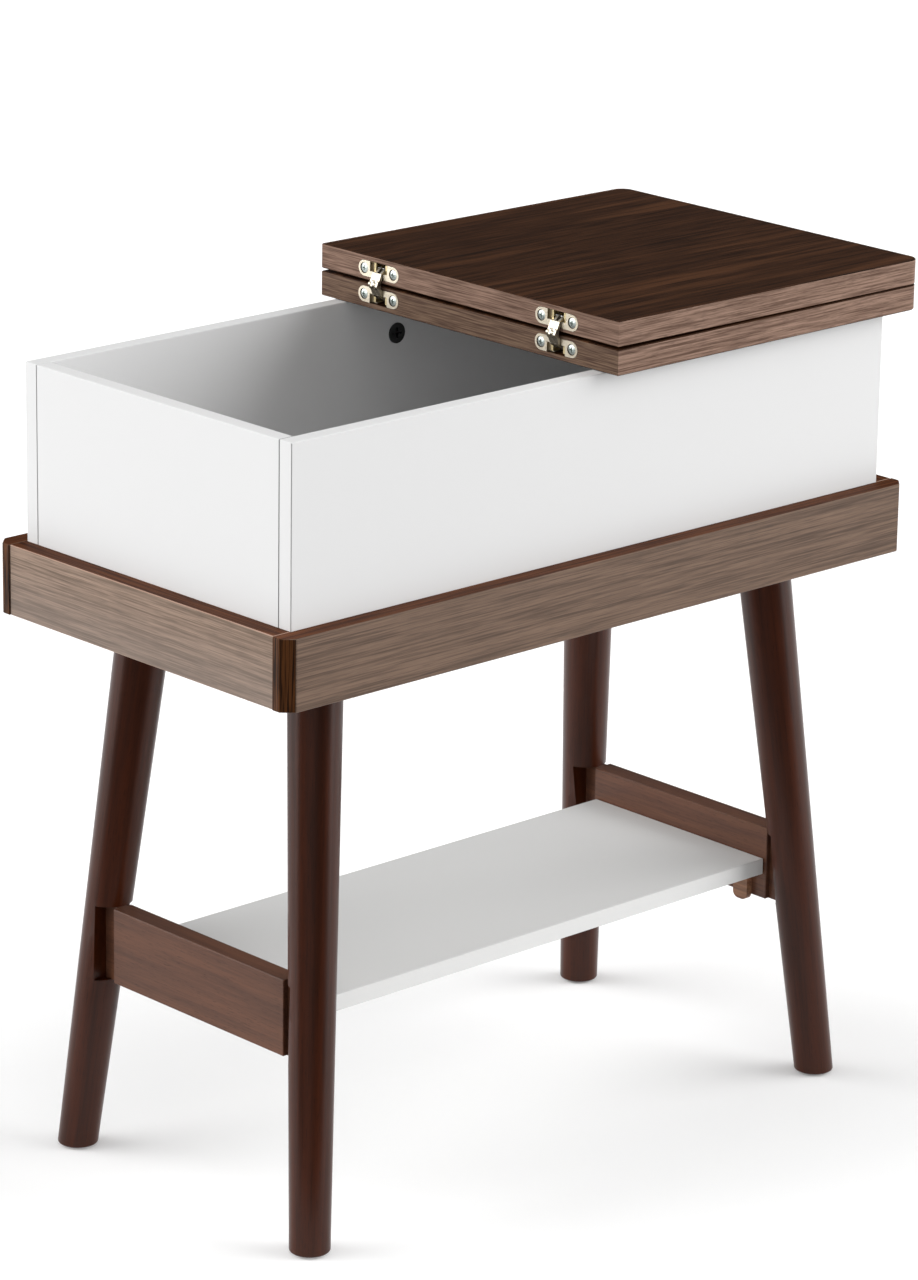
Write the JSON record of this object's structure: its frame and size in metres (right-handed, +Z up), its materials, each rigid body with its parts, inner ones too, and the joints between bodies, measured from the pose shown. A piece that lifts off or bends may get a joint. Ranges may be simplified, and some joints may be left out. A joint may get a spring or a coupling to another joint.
{
  "type": "fold-top end table",
  "caption": "End table whose hinged half top folds over the fixed half to uncover a storage box, on splayed legs with a low shelf.",
  "frame": {"origin": "on the floor, under the middle of the table's bounding box", "axes": "+Z up, +X along the length towards the half that the lid covers, the front long side is -Y"},
  "size_m": [0.5951, 0.303, 0.6127],
  "materials": {
    "leaf_laminate": "dark walnut wood-grain foil, satin, on the broad faces and the edges",
    "apron_wood": "grey-brown stained wood grain, satin lacquer",
    "white_melamine": "white melamine-faced board, satin",
    "leg_wood": "dark red-brown stained solid wood, satin lacquer",
    "stretcher_wood": "red-brown stained solid wood, satin lacquer",
    "support_wood": "lightly stained solid wood, satin",
    "dowel_wood": "plain beech",
    "zinc_steel": "zinc-plated steel",
    "black_plastic": "black moulded, matt",
    "satin_nickel": "satin nickel-plated",
    "brass": "satin",
    "pin_steel": "plain ground steel"
  },
  "bodies": {
    "base": {"fixed_leaf": "leaf_laminate", "apron_front": "apron_wood", "apron_back": "apron_wood", "apron_left": "apron_wood", "apron_right": "apron_wood", "box_front_panel": "white_melamine", "box_back_panel": "white_melamine", "box_left_panel": "white_melamine", "box_right_panel": "white_melamine", "box_bottom_panel": "white_melamine", "shelf": "white_melamine", "leg_front_left": "leg_wood", "leg_front_right": "leg_wood", "leg_back_left": "leg_wood", "leg_back_right": "leg_wood", "stretcher_left": "stretcher_wood", "stretcher_right": "stretcher_wood", "shelf_supports": "support_wood", "apron_dowels": "dowel_wood", "panel_dowels": "dowel_wood", "bottom_dowels": "dowel_wood", "stretcher_dowels": "dowel_wood", "shelf_dowels": "dowel_wood", "apron_screws": "zinc_steel", "leg_plates": "zinc_steel", "leg_plate_screws": "zinc_steel", "hanger_bolts": "zinc_steel", "cam_bolts": "zinc_steel", "cam_locks": "black_plastic", "foot_glides": "black_plastic", "hinge_bodies_lower": "satin_nickel", "hinge_cheeks_lower": "brass", "hinge_screws_lower": "satin_nickel", "fixed_pins_lower": "pin_steel"},
    "lower_link_pair": {"lower_links": "satin_nickel", "centre_pins": "pin_steel", "slider_pins_upper": "pin_steel"},
    "upper_link_pair": {"upper_links": "satin_nickel", "slider_pins_lower": "pin_steel"},
    "folding_leaf": {"flip_leaf": "leaf_laminate", "hinge_bodies_upper": "satin_nickel", "hinge_cheeks_upper": "brass", "hinge_screws_upper": "satin_nickel", "fixed_pins_upper": "pin_steel"}
  },
  "joints": [
    {"name": "leaf_fold", "type": "hinge", "parent": "base", "child": "folding_leaf", "pos_m": [-0.0035, 0, 0.59375], "axis": [0, -1, 0], "range_deg": [0, 180.27]},
    {"name": "lower_link_turn", "type": "hinge", "parent": "base", "child": "lower_link_pair", "pos_m": [-0.00185, 0, 0.58875], "axis": [0, -1, 0], "range_deg": [0, 122.82]},
    {"name": "upper_link_turn", "type": "hinge", "parent": "folding_leaf", "child": "upper_link_pair", "pos_m": [-0.00183, 0, 0.59874], "axis": [0, -1, 0], "range_deg": [-122.82, 0]}
  ],
  "couplings": [
    {"joint": "lower_link_turn", "follows": "leaf_fold", "ratio": 0.6812},
    {"joint": "upper_link_turn", "follows": "leaf_fold", "ratio": -0.6812}
  ]
}
